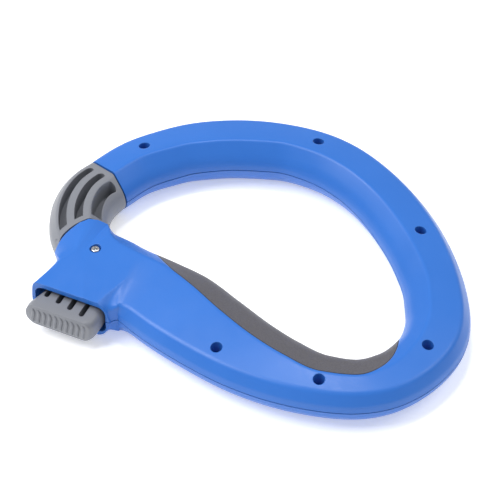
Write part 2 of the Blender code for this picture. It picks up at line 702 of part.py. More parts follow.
def add_spring(pieces):
    """The gate's return spring: a coil round the sleeve, with one leg to the housing and one to the gate."""
    turns, radius, wire = 3.0, 5.5, 0.45
    leg_r, leg_angle = 11.6, 195
    points = [(*arc(leg_r, leg_angle, leg_angle, 1)[0], 4.3)]
    # The leg meets the coil along its tangent.
    start = leg_angle + math.degrees(math.acos(radius / leg_r))
    for k in range(int(turns * 14) + 1):
        f = k / (turns * 14)
        angle = math.radians(start + 360 * turns * f)
        points.append((radius * math.cos(angle), radius * math.sin(angle), 4.3 - 2.7 * f))
    curve = bpy.data.curves.new("gate_spring", "CURVE")
    curve.dimensions = "3D"
    curve.bevel_depth = wire * MM
    curve.bevel_resolution = 2
    curve.use_fill_caps = True
    spline = curve.splines.new("POLY")
    spline.points.add(len(points) - 1)
    for point, (x, y, z) in zip(spline.points, points):
        point.co = (*place(x, y, z), 1)
    made = bpy.data.objects.new("gate_spring", curve)
    pieces.objects.link(made)
    return made


def main():
    for old in list(bpy.data.objects):
        bpy.data.objects.remove(old)
    pieces = bpy.data.collections.new("bag_handle")
    cutters = bpy.data.collections.new("cutters")
    for collection in (pieces, cutters):
        bpy.context.scene.collection.children.link(collection)

    body = Body()
    shells = add_shells(body, pieces, cutters)
    for piece in shells:
        colour(piece, "blue_plastic", BLUE, 0.32)
    colour(add_pad(body, shells, pieces, cutters), "soft_pad", SOFT_GREY, 0.75)
    colour(add_gate(pieces, cutters), "grey_plastic", GREY, 0.45)
    colour(add_button(pieces, cutters), "grey_plastic", GREY, 0.45)
    for piece in add_metal(pieces):
        colour(piece, "steel", STEEL, 0.28, 1.0)
    colour(add_spring(pieces), "spring_steel", STEEL, 0.35, 1.0)


main()
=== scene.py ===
"""The render of a carrying handle for several shopping bags, on a plain pale floor in soft light.

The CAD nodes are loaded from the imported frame. The moulded pieces and the screws' heads are rebuilt
here, finer than the CAD and with their small details, and stand for their CAD nodes. Lengths are in
millimetres and MM turns them into metres. Plan positions are counted from the gate's pivot, and
heights from the parting plane between the two shells.
"""

import math

import bmesh
import bpy
import numpy as np
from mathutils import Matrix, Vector


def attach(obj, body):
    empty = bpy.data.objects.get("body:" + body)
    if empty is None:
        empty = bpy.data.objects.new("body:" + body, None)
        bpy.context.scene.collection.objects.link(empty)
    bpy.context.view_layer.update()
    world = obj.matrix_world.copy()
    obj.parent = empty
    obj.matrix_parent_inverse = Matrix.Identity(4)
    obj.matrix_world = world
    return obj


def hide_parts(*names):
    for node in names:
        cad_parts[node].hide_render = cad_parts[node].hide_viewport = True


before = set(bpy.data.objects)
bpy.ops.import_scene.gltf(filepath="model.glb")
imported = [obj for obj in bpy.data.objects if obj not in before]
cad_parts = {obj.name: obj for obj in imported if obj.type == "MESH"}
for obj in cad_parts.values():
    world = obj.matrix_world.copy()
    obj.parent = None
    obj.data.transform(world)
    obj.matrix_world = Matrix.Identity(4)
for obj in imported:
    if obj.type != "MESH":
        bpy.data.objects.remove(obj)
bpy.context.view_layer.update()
scene = bpy.context.scene

MM = 0.001
PIVOT = (-55.9, -2.1)  # plan position of the gate's pivot in the part's frame
PARTING_Z = 9.6  # height of the parting plane
LAND_Z = 9.6  # depth of the lower shell's flat resting land below the parting plane

GAP = 0.3  # clearance between neighbouring pieces
PARTING_GAP = 0.15  # half of the groove between the two shells
PAD_DEPTH = 2.6  # thickness of the soft pad
PAD_ENDS = (30.0, 16.0)  # lengths over which the pad narrows to its ends
PAD_COVER = (0.06, 0.96)  # least and greatest share of the inner side that the pad covers

# Sections across the loop, from the arm's free end round the far side to the grip, as
# (outer edge, inner edge, inner ridge's inset and height, inner shoulder's inset and height).
LOOP = [
    ((-4.8, 51.6), (10.2, 33.8), 7.6, 10.4, 1.3, 4.4),
    ((7.6, 62.5), (19.7, 42.4), 7.2, 10.5, 1.3, 4.6),
    ((19.6, 68.7), (28.5, 46.7), 6.6, 10.5, 1.4, 4.9),
    ((30.8, 72.8), (36.5, 49.6), 6.3, 10.5, 1.4, 5.0),
    ((51.4, 75.4), (50.5, 51.2), 6.1, 10.5, 1.4, 5.0),
    ((70.1, 73.4), (65.6, 50.2), 6.1, 10.5, 1.4, 5.0),
    ((88.7, 67.0), (77.7, 45.6), 6.3, 10.5, 1.5, 5.0),
    ((106.2, 53.3), (90.2, 35.6), 6.8, 10.4, 1.7, 5.0),
    ((121.7, 31.3), (101.2, 19.2), 7.4, 10.2, 1.9, 5.0),
    ((132.4, 4.2), (110.0, -3.2), 8.1, 10.0, 2.2, 5.0),
    ((136.2, -15.8), (112.8, -17.0), 8.5, 9.8, 2.4, 5.0),
    ((136.2, -31.8), (113.0, -26.3), 8.7, 9.7, 2.5, 5.0),
    ((132.4, -44.9), (111.4, -33.7), 9.0, 9.5, 2.7, 5.0),
    ((121.9, -58.9), (107.6, -39.6), 10.4, 9.0, 3.0, 5.0),
    ((108.6, -67.9), (102.2, -44.0), 12.8, 8.7, 3.4, 5.0),
    ((93.8, -71.1), (94.5, -46.4), 14.2, 8.7, 3.6, 5.0),
    ((78.0, -69.4), (85.0, -44.5), 15.0, 9.0, 3.6, 5.0),
    ((62.0, -64.7), (74.5, -38.0), 15.2, 9.8, 3.6, 5.1),
    ((47.5, -57.8), (65.0, -30.0), 15.2, 10.3, 3.6, 5.2),
    ((34.1, -48.9), (53.7, -18.6), 14.9, 10.5, 3.5, 5.2),
    ((22.5, -39.8), (41.5, -6.6), 13.4, 10.5, 3.3, 5.2),
    ((14.6, -32.6), (30.0, 0.7), 10.6, 10.5, 3.0, 5.2),
]
OUTER_INSET, OUTER_Z = 3.2, 7.0  # outer ridge of the loop's section

# Push axis of the thumb button: u runs into the housing and v across its mouth.
PUSH_ANGLE = math.radians(65)
NOSE_R = 15.6  # nose of the housing, round the pivot
SEAT_R = 16.1  # seat of the gate, round the nose


def push_xy(u, v):
    """Plan position of a point given along and across the push axis."""
    c, s = math.cos(PUSH_ANGLE), math.sin(PUSH_ANGLE)
    return (u * c + v * s, u * s - v * c)


def pushed(u, v, z):
    return (*push_xy(u, v), z)


def nose(angle, inset=0.0):
    """A plan point on the nose's rim at an angle in degrees."""
    a = math.radians(angle)
    return ((NOSE_R - inset) * math.cos(a), (NOSE_R - inset) * math.sin(a))


def rim(angle, z):
    return (*nose(angle, 0.25), z)


# The housing's left wall ends here, and the last sections fan out from it round the nose.
WALL_END = push_xy(-8.8, -10.65)
WALL_END_RIDGE = pushed(-8.65, -10.6, 8.4)

# The same sections through the housing, from the valley beside the grip round the mouth to the shoulder, as
# (outer edge, outer ridge, point on the top, inner ridge, inner edge, rounding of those three corners).
# The mouth's own edge is cut straight afterwards, so its outer points lie beyond it.
HOUSING = [
    (push_xy(-20.2, 19.1), pushed(-20.0, 18.9, 6.9), pushed(-8.0, 17.0, 9.5), (17.2, -3.6, 10.5), (20.0, 6.6),
     (1.2, 0.6, 1.0)),
    (push_xy(-22.0, 17.3), pushed(-22.0, 15.8, 6.0), pushed(-15.0, 14.8, 9.0), (11.6, 0.4, 10.5), (14.4, 9.8),
     (2.5, 0.9, 1.0)),
    (push_xy(-33.5, 16.9), pushed(-33.5, 14.7, 5.8), pushed(-30.5, 10.0, 8.0), (8.6, 2.6, 10.5), (10.4, 11.8),
     (3.0, 1.0, 1.0)),
    (push_xy(-33.5, -2.0), pushed(-33.5, -2.0, 7.4), pushed(-6.0, -1.5, 9.85), (5.2, 7.6, 10.5), (6.8, 13.2),
     (0.5, 3.0, 1.0)),
    (push_xy(-33.5, -17.5), pushed(-33.5, -17.1, 7.1), pushed(-5.0, -4.0, 9.9), rim(75, 7.8), nose(75),
     (12.0, 4.0, 0.6)),
    (push_xy(-20.0, -13.8), pushed(-20.0, -13.3, 8.25), pushed(-4.5, -5.5, 9.9), rim(88, 9.5), nose(88),
     (9.5, 3.0, 0.5)),
    (push_xy(-13.0, -11.8), pushed(-13.0, -11.4, 8.8), pushed(-3.5, -6.0, 9.95), rim(101, 10.4), nose(101),
     (5.0, 3.0, 0.5)),
    (WALL_END, WALL_END_RIDGE, pushed(-2.5, -6.5, 9.8), rim(115, 9.6), nose(115), (0.3, 3.0, 0.5)),
    (WALL_END, WALL_END_RIDGE, pushed(-2.8, -7.5, 9.6), rim(130, 8.1), nose(130), (0.3, 2.5, 0.5)),
    (WALL_END, WALL_END_RIDGE, pushed(-3.5, -8.3, 9.3), rim(146, 7.0), nose(146), (0.3, 2.0, 0.5)),
    (WALL_END, WALL_END_RIDGE, pushed(-5.0, -10.6, 8.6), rim(160, 6.2), nose(160), (0.3, 1.0, 0.5)),
    (WALL_END, WALL_END_RIDGE, pushed(-6.7, -12.77, 7.2), rim(172, 5.9), nose(172), (0.3, 0.5, 0.3)),
]

MOUTH_U = -22.9
MOUTH_V = (-13.1, 15.5)
MOUTH_END_U, MOUTH_END_V = -9.6, (-9.45, 15.5)  # the mouth narrows inwards along the left wall
MOUTH_HALF_HEIGHT = 6.3
MOUTH_CORNERS = (3.6, 3.2)  # rounding of its left and right sides
BEYOND_MOUTH_V = (-30, 21.5)  # the cut that ends the housing stops short of the grip

SCREWS = [(16.4, 55.6), (82.9, 58.1), (119.8, 10.6), (119.8, -46.1), (80.9, -62.0), (44.8, -46.8)]
COUNTERBORE_R = 2.15
HEAD_SEAT_Z = 1.2
HEAD_TOP_Z = 3.2
PIVOT_COUNTERBORE_Z = 8.1
PIVOT_HEAD_Z = (8.4, 9.9)  # the pivot screw's head, from its seat to its top
PIVOT_CLEARANCE_R = 1.75

BUTTON_HALF_HEIGHT = 4.8
BUTTON_CORNERS = (4.2, 3.0)  # rounding of its left and right sides
# Sections across the button from back to front, as (u, lowest v, highest v, share of the full height).
BUTTON = [
    (-14.9, -9.1, 14.3, 1.0),
    (-25.8, -12.3, 14.3, 1.0),
    (-28.4, -13.1, 14.1, 1.0),
    (-30.8, -13.0, 13.0, 0.98),
    (-31.6, -12.4, 12.3, 0.92),
]
BUTTON_SLOTS = [(-7.6, -24.9), (-2.3, -26.1), (2.9, -27.1), (8.2, -28.2)]  # v, and u of the closed end
SLOT_HALF_WIDTH = 1.0
SLOT_BACK_U = -16.5

# The thumb's grip: raised ribs across the button's front.
RIB_COUNT = 10
RIB_R = 0.78
RIB_HEIGHT = 0.6
RIB_HALF_LENGTH = 3.7
RIB_BOW = 0.28

HUB_HALF_HEIGHT = 4.9
HUB_R = 8.6
BORE_R = 3.3
TONGUE_HALF_HEIGHT = 4.6
DRIVE_HALF_HEIGHT = 3.0  # the button's pusher and the gate's finger

# The housing's hidden spaces, which are as high above the parting plane as below it.
CHAMBER_HALF_HEIGHT = 5.2
HUB_SPACE_R, HUB_SPACE_HALF_HEIGHT = 12.4, 5.3
TONGUE_SLOT_HALF_HEIGHT = 4.95
FINGER_ANGLE = math.radians(-37.2)  # the gate's drive finger at rest

# Sections across the gate from the arm to the nose, as (outer edge, inner edge).
GATE = [
    ((-5.2, 51.3), (9.8, 33.5)),
    ((-11.9, 44.8), (6.7, 29.4)),
    ((-16.1, 37.0), (4.9, 25.6)),
    ((-18.3, 28.7), (4.2, 21.8)),
    ((-18.6, 20.7), (4.3, 17.8)),
    ((-17.7, 13.2), (4.8, 14.6)),
    ((-15.4, 6.4), (5.2, 11.4)),
]
# The gate's pockets, as (inset of both sides at the arm, inset of both sides at the nose).
GATE_SLOTS = [
    ((5.2, 8.2), (3.4, 6.5)),
    ((11.4, 14.8), (9.4, 12.7)),
    ((17.6, 21.0), (16.0, 20.0)),
]
SLOT_MARGIN = (2.3, 2.4)  # gate left solid beyond the pockets' ends, at the arm and round the seat
SLOT_FLOOR = 1.6  # half of the web left between the upper and the lower pockets
POCKET_ROUND = 1.5  # length of the pockets' round end at the arm

FAR_OUT = 15  # a height that is clear of the whole handle


def place(x, y, z):
    return Vector(((x + PIVOT[0]) * MM, (y + PIVOT[1]) * MM, (z + PARTING_Z) * MM))


# Curves


def cubic(values, knots):
    """A natural cubic spline through values at knots, as a function of the knot parameter."""
    values = np.asarray(values, float).reshape(len(knots), -1)
    h = np.diff(knots)
    n = len(knots)
    system, right = np.eye(n), np.zeros_like(values)
    for i in range(1, n - 1):
        system[i, i - 1 : i + 2] = h[i - 1], 2 * (h[i - 1] + h[i]), h[i]
        right[i] = 6 * ((values[i + 1] - values[i]) / h[i] - (values[i] - values[i - 1]) / h[i - 1])
    bend = np.linalg.solve(system, right)

    def at(t):
        i = int(np.clip(np.searchsorted(knots, t) - 1, 0, n - 2))
        a, b = (knots[i + 1] - t) / h[i], (t - knots[i]) / h[i]
        curve = (a**3 - a) * bend[i] + (b**3 - b) * bend[i + 1]
        return a * values[i] + b * values[i + 1] + curve * h[i] ** 2 / 6

    return at


def steady(values, knots):
    """A smooth curve through values at knots that never overshoots them."""
    values = np.asarray(values, float).reshape(len(knots), -1)
    h = np.diff(knots)[:, None]
    rise = np.diff(values, axis=0) / h
    slope = np.zeros_like(values)
    turning = rise[:-1] * rise[1:] <= 0
    safe = np.where(turning, 1, rise[:-1] + rise[1:])
    slope[1:-1] = np.where(turning, 0, 2 * rise[:-1] * rise[1:] / safe)
    slope[0], slope[-1] = rise[0], rise[-1]

    def at(t):
        i = int(np.clip(np.searchsorted(knots, t) - 1, 0, len(knots) - 2))
        f = (t - knots[i]) / h[i]
        near = values[i] * (1 + 2 * f) * (1 - f) ** 2 + slope[i] * h[i] * f * (1 - f) ** 2
        return near + values[i + 1] * (3 - 2 * f) * f**2 - slope[i + 1] * h[i] * (1 - f) * f**2

    return at


def knots_of(*lines):
    """One knot for each section, spaced by the mean distance between the sections."""
    steps = np.mean([np.linalg.norm(np.diff(line, axis=0), axis=1) for line in lines], axis=0)
    return np.concatenate([[0], np.cumsum(steps)])


def rounded(points, reach, steps):
    """The polyline with each inner corner replaced by a short curve that starts `reach` from the corner."""
    made = [points[0]]
    for i in range(1, len(points) - 1):
        corner = points[i]
        before, after = points[i - 1] - corner, points[i + 1] - corner
        if reach[i] <= 0:
            made.append(corner)
            continue
        start = corner + before * min(0.55, reach[i] / max(np.linalg.norm(before), 1e-9))
        end = corner + after * min(0.55, reach[i] / max(np.linalg.norm(after), 1e-9))
        for k in range(steps + 1):
            f = k / steps
            made.append(start * (1 - f) ** 2 + corner * 2 * f * (1 - f) + end * f**2)
    return made + [points[-1]]


class Body:
    """The section of the blue loop and housing at any station."""

    def __init__(self):
        outer = [row[0] for row in LOOP] + [HOUSING[0][0]]
        inner = [row[1] for row in LOOP] + [row[4] for row in HOUSING]
        ridge = [self.inset_ridge(*row[:4]) for row in LOOP] + [row[3] for row in HOUSING]
        foot = [(row[4] / row[2], row[5]) for row in LOOP]
        foot += [(0.3 * 0.7**i, 5.2 - 0.2 * i) for i in range(len(HOUSING))]
        self.loop_knots = knots_of(outer, inner[: len(outer)])
        self.valley = self.loop_knots[-1]
        house = knots_of([row[4] for row in HOUSING], [row[2][:2] for row in HOUSING])
        self.house_knots = self.valley + house
        self.knots = np.concatenate([self.loop_knots, self.house_knots[1:]])
        self.outer = cubic(outer, self.loop_knots)
        self.inner = steady(inner, self.knots)
        self.inner_ridge = steady(ridge, self.knots)
        self.shoulder = steady(foot, self.knots)
        self.house = steady([[*row[0], *row[1], *row[2], *row[5]] for row in HOUSING], self.house_knots)

    @staticmethod
    def inset_ridge(outer, inner, inset, height):
        outer, inner = np.array(outer), np.array(inner)
        return [*(inner + (outer - inner) / np.linalg.norm(outer - inner) * inset), height]

    def corners(self, t):
        """The section's corners at the parting plane's level and above, from the outer edge to the inner."""
        inner = np.append(self.inner(t), 0)
        inner_ridge = self.inner_ridge(t)
        row = self.house(max(t, self.valley))
        if t <= self.valley:
            outer = np.append(self.outer(t), 0)
            across = (inner - outer) / np.linalg.norm(inner - outer)
            ridge = outer + across * OUTER_INSET + (0, 0, OUTER_Z)
            top = ridge + (inner_ridge - ridge) * 0.5
            # The outer ridge runs into the valley over the last few millimetres.
            near = max(0, 1 - (self.valley - t) / 8) ** 2
            ridge += (row[2:5] - ridge) * near
            top += (row[5:8] - top) * near
        else:
            outer, ridge, top = np.append(row[0:2], 0), row[2:5], row[5:8]
        share, height = self.shoulder(t)
        # The housing's wall stays steep lower down, which leaves room for its larger upper rounding.
        steep = min(1, max(0, (t - self.valley) / 8))
        wall = outer + (ridge - outer) * (0.14, 0.14, 0.38 - 0.24 * steep)
        shoulder = inner + (inner_ridge - inner) * (share, share, 0)
        shoulder[2] = min(height, inner_ridge[2] * 0.6)
        foot = inner + (shoulder - inner) * (0.2, 0.2, 0) + (0, 0, 1.8)
        return [outer, wall, ridge, top, inner_ridge, shoulder, foot, inner]

    def profile(self, t, steps=2):
        """The section with its corners rounded."""
        reach = [0, 0.8, 1.3, 0.6, 1.0, 2.6, 0.8, 0]
        if t > self.valley:
            reach[2:5] = self.house(t)[8:11]
        return rounded(self.corners(t), reach, steps)


def stations(knots, spacing):
    """Evenly spaced stations that also include every knot."""
    made = []
    for a, b in zip(knots[:-1], knots[1:]):
        made += list(np.linspace(a, b, max(1, round((b - a) / spacing)), endpoint=False))
    return made + [knots[-1]]


# Meshes


def object_of(name, rings, collection, side=1):
    """A closed solid lofted through rings of equal length, capped at both ends; side -1 turns it over."""
    mesh = bmesh.new()
    rows = [[mesh.verts.new(place(p[0], p[1], p[2] * side)) for p in ring] for ring in rings]
    count = len(rings[0])
    for a, b in zip(rows[:-1], rows[1:]):
        for i in range(count):
            j = (i + 1) % count
            mesh.faces.new((a[i], a[j], b[j], b[i]))
    mesh.faces.new(rows[0])
    mesh.faces.new(rows[-1])
    bmesh.ops.remove_doubles(mesh, verts=mesh.verts, dist=1e-6)
    bmesh.ops.dissolve_degenerate(mesh, edges=mesh.edges, dist=1e-6)
    bmesh.ops.triangulate(mesh, faces=mesh.faces)
    bmesh.ops.recalc_face_normals(mesh, faces=mesh.faces)
    return link(name, mesh, collection)


def link(name, mesh, collection):
    data = bpy.data.meshes.new(name)
    mesh.to_mesh(data)
    mesh.free()
    made = bpy.data.objects.new(name, data)
    collection.objects.link(made)
    return made


def cylinder(name, collection, centre, radius, low, high, sides=24, top_radius=None):
    """An upright cylinder or cone between two heights."""
    mesh = bmesh.new()
    bmesh.ops.create_cone(
        mesh,
        cap_ends=True,
        segments=sides,
        radius1=radius * MM,
        radius2=(radius if top_radius is None else top_radius) * MM,
        depth=(high - low) * MM,
    )
    bmesh.ops.translate(mesh, verts=mesh.verts, vec=place(*centre, (low + high) / 2))
    return link(name, mesh, collection)


def prism(name, collection, outline, low, high):
    """An upright prism over a closed plan outline."""
    mesh = bmesh.new()
    bottom = [mesh.verts.new(place(x, y, low)) for x, y in outline]
    top = [mesh.verts.new(place(x, y, high)) for x, y in outline]
    for i in range(len(outline)):
        j = (i + 1) % len(outline)
        mesh.faces.new((bottom[i], bottom[j], top[j], top[i]))
    mesh.faces.new(bottom)
    mesh.faces.new(top)
    bmesh.ops.recalc_face_normals(mesh, faces=mesh.faces)
    return link(name, mesh, collection)


def arc(radius, first, last, steps, centre=(0, 0)):
    """Plan points on an arc, by angles in degrees."""
    angles = np.radians(np.linspace(first, last, steps))
    return [(centre[0] + radius * math.cos(a), centre[1] + radius * math.sin(a)) for a in angles]


def carve(piece, *cutters, union=False):
    """Cuts the cutters out of the piece, or joins them to it, and removes them."""
    group = bpy.data.collections.new("cutters")
    for cutter in cutters:
        group.objects.link(cutter)
    modifier = piece.modifiers.new("carve", "BOOLEAN")
    modifier.operation = "UNION" if union else "DIFFERENCE"
    modifier.solver = "EXACT"
    modifier.operand_type = "COLLECTION"
    modifier.collection = group
    made = bpy.data.meshes.new_from_object(piece.evaluated_get(bpy.context.evaluated_depsgraph_get()))
    piece.modifiers.clear()
    old, piece.data = piece.data, made
    bpy.data.meshes.remove(old)
    for cutter in cutters:
        bpy.data.meshes.remove(cutter.data)
    bpy.data.collections.remove(group)


def present(piece, body, material, slot, *nodes, angle=32):
    """Smooths a finished piece, gives it its material and body, and lets it stand for its CAD nodes."""
    piece.data.shade_smooth()
    piece.data.set_sharp_from_angle(angle=math.radians(angle))
    piece.data.materials.clear()
    piece.data.materials.append(material)
    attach(piece, body)
    if nodes:
        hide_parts(*nodes)


# Materials

BLUE_FIRST, BLUE_SECOND = (0.026, 0.152, 0.555), (0.030, 0.162, 0.580)
GREY_FIRST, GREY_SECOND = (0.190, 0.200, 0.228), (0.208, 0.218, 0.248)
PAD_DARK, PAD_LIGHT = (0.070, 0.067, 0.075), (0.115, 0.110, 0.122)
STEEL, SPRING_STEEL = (0.72, 0.73, 0.75), (0.55, 0.55, 0.57)


class Shader:
    """A material's node tree, built from its Principled shader back."""

    def __init__(self, name, metallic=0.0, specular=0.5):
        self.material = bpy.data.materials.new(name)
        self.material.use_nodes = True
        self.tree = self.material.node_tree
        self.base = self.tree.nodes["Principled BSDF"]
        self.base.inputs["Metallic"].default_value = metallic
        self.base.inputs["Specular IOR Level"].default_value = specular
        self.position = self.add("ShaderNodeTexCoord").outputs["Object"]

    def add(self, kind, **values):
        node = self.tree.nodes.new(kind)
        for name, value in values.items():
            node.inputs[name.replace("_", " ")].default_value = value
        return node

    def join(self, output, node, name):
        self.tree.links.new(output, node.inputs[name])

    def noise(self, size_mm, detail=2.0, rough=0.5):
        node = self.add("ShaderNodeTexNoise", Scale=1 / (size_mm * MM), Detail=detail, Roughness=rough)
        self.join(self.position, node, "Vector")
        return node.outputs["Fac"]

    def spread(self, value, low, high, start=0.3, end=0.7):
        """Maps a 0 to 1 value to a range."""
        node = self.add("ShaderNodeMapRange")
        for name, number in (("From Min", start), ("From Max", end), ("To Min", low), ("To Max", high)):
            node.inputs[name].default_value = number
        self.join(value, node, "Value")
        return node.outputs["Result"]

    def colours(self, value, first, second):
        ramp = self.add("ShaderNodeValToRGB")
        ramp.color_ramp.elements[0].color = (*first, 1)
        ramp.color_ramp.elements[1].color = (*second, 1)
        ramp.color_ramp.elements[0].position = 0.3
        ramp.color_ramp.elements[1].position = 0.7
        self.join(value, ramp, "Fac")
        return ramp.outputs["Color"]

    def relief(self, layers, edge_mm):
        """Bump layers as (height value, depth in mm), over edges rounded to a radius."""
        edge = self.add("ShaderNodeBevel", Radius=edge_mm * MM)
        edge.samples = 6
        normal = edge.outputs["Normal"]
        for value, depth in layers:
            bump = self.add("ShaderNodeBump", Strength=1.0, Distance=depth * MM)
            self.join(value, bump, "Height")
            self.join(normal, bump, "Normal")
            normal = bump.outputs["Normal"]
        self.join(normal, self.base, "Normal")


def moulded(name, first, second, rough, grain_mm, grain_depth, edge_mm, specular=0.5):
    """Moulded plastic with a spark-eroded grain, faint flow marks and handling wear in its gloss."""
    made = Shader(name, specular=specular)
    made.join(made.colours(made.noise(22, 3), first, second), made.base, "Base Color")
    worn = made.add("ShaderNodeMath")
    worn.operation = "ADD"
    made.join(made.spread(made.noise(9, 4, 0.6), rough[0], rough[1]), worn, 0)
    made.join(made.spread(made.noise(0.9, 2), -0.02, 0.02), worn, 1)
    made.join(worn.outputs["Value"], made.base, "Roughness")
    made.relief([(made.noise(14, 2), 0.05), (made.noise(grain_mm, 3, 0.6), grain_depth)], edge_mm)
    return made.material


def soft_rubber(name):
    """Soft moulded rubber with a matte stippled skin and a little dust in the grain."""
    made = Shader(name, specular=0.35)
    grain = made.noise(0.5, 3, 0.65)
    made.join(made.colours(grain, PAD_DARK, PAD_LIGHT), made.base, "Base Color")
    made.join(made.spread(made.noise(7, 3), 0.52, 0.66), made.base, "Roughness")
    made.base.inputs["Sheen Weight"].default_value = 0.12
    made.base.inputs["Sheen Roughness"].default_value = 0.5
    made.relief([(made.noise(16, 2), 0.08), (grain, 0.012)], 0.35)
    return made.material


def plated(name, tint, rough):
    """Zinc-plated steel with drawn streaks and dull patches."""
    made = Shader(name, metallic=1.0)
    dull = tuple(channel * 0.86 for channel in tint)
    made.join(made.colours(made.noise(1.2, 3), tint, dull), made.base, "Base Color")
    made.join(made.spread(made.noise(0.5, 3), rough, rough + 0.16), made.base, "Roughness")
    made.relief([(made.noise(0.25, 2), 0.004)], 0.12)
    return made.material


# Visual pieces

FINE = 1.8  # spacing of the sections
STEPS = 6  # steps in each rounded corner, even so that one point is at the corner's middle


def body_rings(body, low, land=None):
    """Closed rings of the blue body from a low height up, flattened at the resting land if given."""
    rings = []
    for t in stations(body.knots, FINE):
        ring = [Vector(p) for p in body.profile(t, STEPS)]
        ring[0].z = ring[-1].z = low
        # A point under the section's top keeps its level face clear of its neighbours'.
        keel = Vector(body.corners(t)[3])
        ring.append(Vector((keel.x, keel.y, low)))
        if land is not None:
            for point in ring:
                point.z = min(point.z, land)
        rings.append(ring)
    return rings


def rounded_box(u, v, half_height, corners, steps=STEPS):
    """The section across the push axis of a box with rounded edges, at push coordinate u."""
    low, high = v
    left, right = corners
    made = []
    turns = [(high, 1, 0, right), (low, 1, 90, left), (low, -1, 180, left), (high, -1, 270, right)]
    for cv, cz, first, reach in turns:
        centre = (cv - reach * (1 if cv == high else -1), cz * (half_height - reach))
        for k in range(steps + 1):
            angle = math.radians(first + 90 * k / steps)
            x, y = push_xy(u, centre[0] + reach * math.cos(angle))
            made.append((x, y, centre[1] + reach * math.sin(angle)))
    return made


def upright(name, outline, half_height):
    """A prism that is as high above the parting plane as below it."""
    return prism(name, here, outline, -half_height, half_height)


def push_box(name, u, v, half_height):
    outline = [push_xy(u[0], v[0]), push_xy(u[0], v[1]), push_xy(u[1], v[1]), push_xy(u[1], v[0])]
    return upright(name, outline, half_height)


def shell_cutters(side):
    """What is cut out of a shell: the mouth, the spaces for the mechanism, and the screws' holes."""
    ends = ((MOUTH_U - 2.8, MOUTH_V), (MOUTH_U + 0.5, MOUTH_V), (MOUTH_END_U, MOUTH_END_V))
    mouth = [rounded_box(u, v, MOUTH_HALF_HEIGHT, MOUTH_CORNERS) for u, v in ends]
    chamber = [push_xy(-15.0, -9.8), push_xy(-15.0, 14.1), push_xy(-1.5, 14.1), push_xy(2.0, 12.6)]
    chamber += [push_xy(2.0, -9.0), push_xy(-9.0, -9.0)]
    hub_space = [(0, 0)] + arc(HUB_SPACE_R, -60, 240, 61)
    swing = arc(30, 58, 181, 40) + arc(8, 181, 58, 24)
    made = [
        push_box("beyond_mouth", (-40, MOUTH_U), BEYOND_MOUTH_V, FAR_OUT),
        object_of("mouth", mouth, here),
        upright("chamber", chamber, CHAMBER_HALF_HEIGHT),
        upright("hub_chamber", hub_space, HUB_SPACE_HALF_HEIGHT),
        upright("gate_slot", swing, TONGUE_SLOT_HALF_HEIGHT),
    ]
    if side > 0:
        # The screws go in from the top, so only the upper shell has holes.
        for centre in SCREWS:
            made.append(cylinder("counterbore", here, centre, COUNTERBORE_R, HEAD_SEAT_Z, 14, sides=40))
        low = PIVOT_COUNTERBORE_Z
        made.append(cylinder("pivot_counterbore", here, (0, 0), COUNTERBORE_R, low, 14, sides=40))
        made.append(cylinder("pivot_clearance", here, (0, 0), PIVOT_CLEARANCE_R, 0, 9, sides=24))
    return made


def pad_cover(body, t):
    """How far up the section the pad reaches: 0 at the parting plane and 1 at the inner ridge."""
    first, last = pad_span(body)
    rise = min((t - first) / PAD_ENDS[0], (last - t) / PAD_ENDS[1])
    least, greatest = PAD_COVER
    return max(least, math.sin(min(1.0, max(rise, 0.0)) * math.pi / 2) * greatest)


def pad_span(body):
    return body.knots[12] + 4.0, body.valley + 1.0


def pad_surface(body, t, cover, count):
    """Points on the section's surface from the pad's edge down to the parting plane, with outward normals."""
    line = np.array([tuple(p) for p in body.profile(t, STEPS)])
    corner = body.corners(t)[4]
    start = int(np.argmin(np.linalg.norm(line - corner, axis=1)))
    line = line[start:][::-1]
    run = np.concatenate([[0], np.cumsum(np.linalg.norm(np.diff(line, axis=0), axis=1))])
    at = np.linspace(run[-1] * cover, 0, count)
    points = np.array([[np.interp(a, run, column) for column in line.T] for a in at])
    along = np.gradient(points, axis=0)
    across = body.corners(t)[7] - body.corners(t)[0]
    across /= np.linalg.norm(across)
    level = along @ across
    normals = np.outer(-along[:, 2], across) + np.outer(level, (0, 0, 1))
    normals /= np.linalg.norm(normals, axis=1)[:, None]
    # The seat is set in level near the parting plane, so that its two halves meet.
    tilt = np.clip((points[:, 2:] - 1.5) / 3, 0, 1)
    normals = across * (1 - tilt) + normals * tilt
    return points, normals / np.linalg.norm(normals, axis=1)[:, None]


def pad_ring(body, t, room=0.0, lift=0.0, count=13):
    """A closed ring of the pad, or with room round it a ring of its recess, open outwards by lift."""
    cover = pad_cover(body, t)
    taper = np.minimum(1, 0.5 + 0.3 * np.arange(count) * 6 / (count - 1))
    depth = PAD_DEPTH * min(1.0, 0.3 + 2 * cover) * taper + room
    line, normals = pad_surface(body, t, cover, count)
    up = line[0] - line[1]
    line[0] += up / np.linalg.norm(up) * room * 1.2
    flip = np.array([1, 1, -1])
    top = [point + normal * lift for point, normal in zip(line, normals)]
    seat = [point - normal * d for point, normal, d in zip(line, normals, depth)]
    ring = top + [p * flip for p in top[-2::-1]] + [p * flip for p in seat[:-1]] + seat[::-1]
    return [Vector((x, y, max(z, -LAND_Z - 2 * lift))) for x, y, z in ring]


def pad_stations(body, grow=0.0):
    first, last = pad_span(body)
    at = list(np.linspace(first + 1.2, last - 1.2, 88))
    return [at[0] - grow, *at, at[-1] + grow] if grow else at


